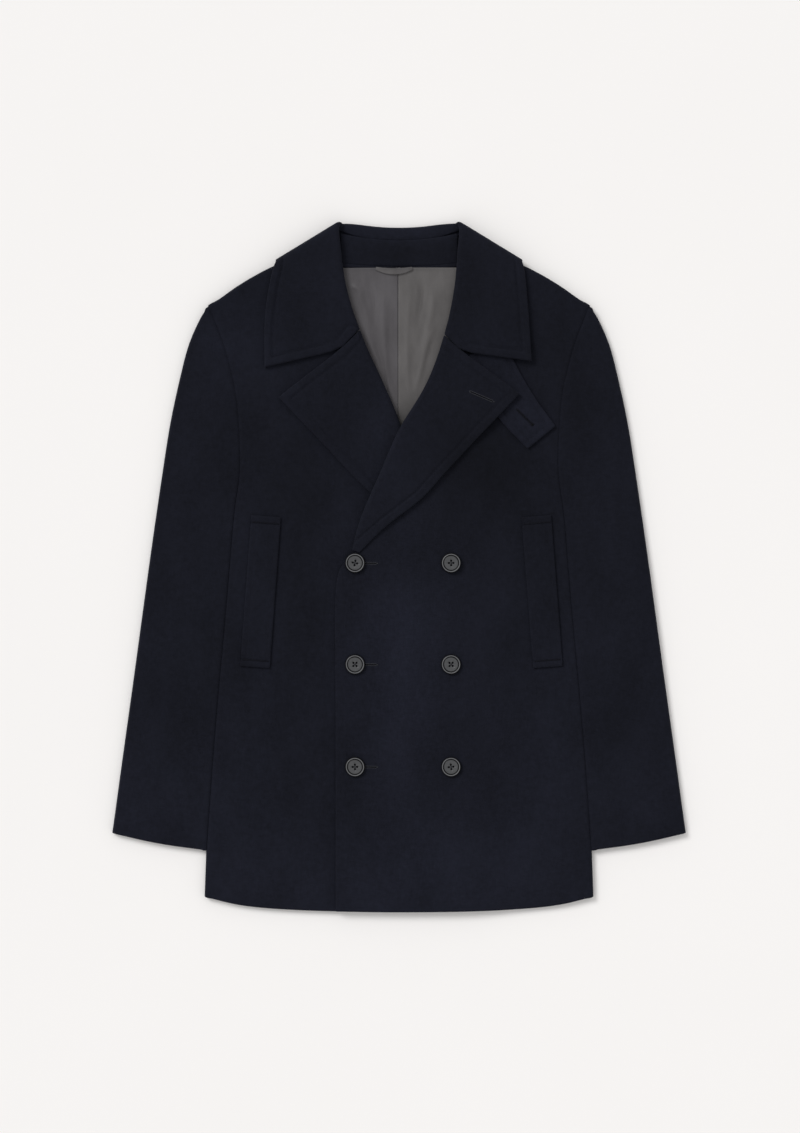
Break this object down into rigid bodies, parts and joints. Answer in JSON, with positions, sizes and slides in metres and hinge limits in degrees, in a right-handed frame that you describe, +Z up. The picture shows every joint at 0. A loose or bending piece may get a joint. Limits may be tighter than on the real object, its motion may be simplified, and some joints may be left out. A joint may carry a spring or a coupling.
{
  "type": "pea coat laid flat",
  "caption": "Double-breasted melton pea coat laid flat and buttoned, with turned-down collar, wide lapels, welt pockets and a throat tab.",
  "frame": {"origin": "middle of the coat's outline, on the surface that it lies on", "axes": "+X towards the wearer's left side, +Y towards the collar, +Z up out of the front"},
  "size_m": [0.7002, 0.8418, 0.0232],
  "materials": {
    "melton": "felted navy wool",
    "lining": "soft grey satin",
    "button": "satin dark horn"
  },
  "bodies": {
    "root": {"back_left": "melton", "back_right": "melton", "front_left": "melton", "front_right": "melton", "sleeve_top_left": "melton", "sleeve_under_left": "melton", "sleeve_top_right": "melton", "sleeve_under_right": "melton", "lapel_left": "melton", "lapel_right": "melton", "collar": "melton", "collar_stand": "melton", "throat_tab": "melton", "pocket_welt_left": "melton", "pocket_welt_right": "melton", "lining_left": "lining", "lining_right": "lining", "hanger_loop": "lining", "button_left_1": "button", "button_left_2": "button", "button_left_3": "button", "button_right_1": "button", "button_right_2": "button", "button_right_3": "button"}
  },
  "joints": []
}
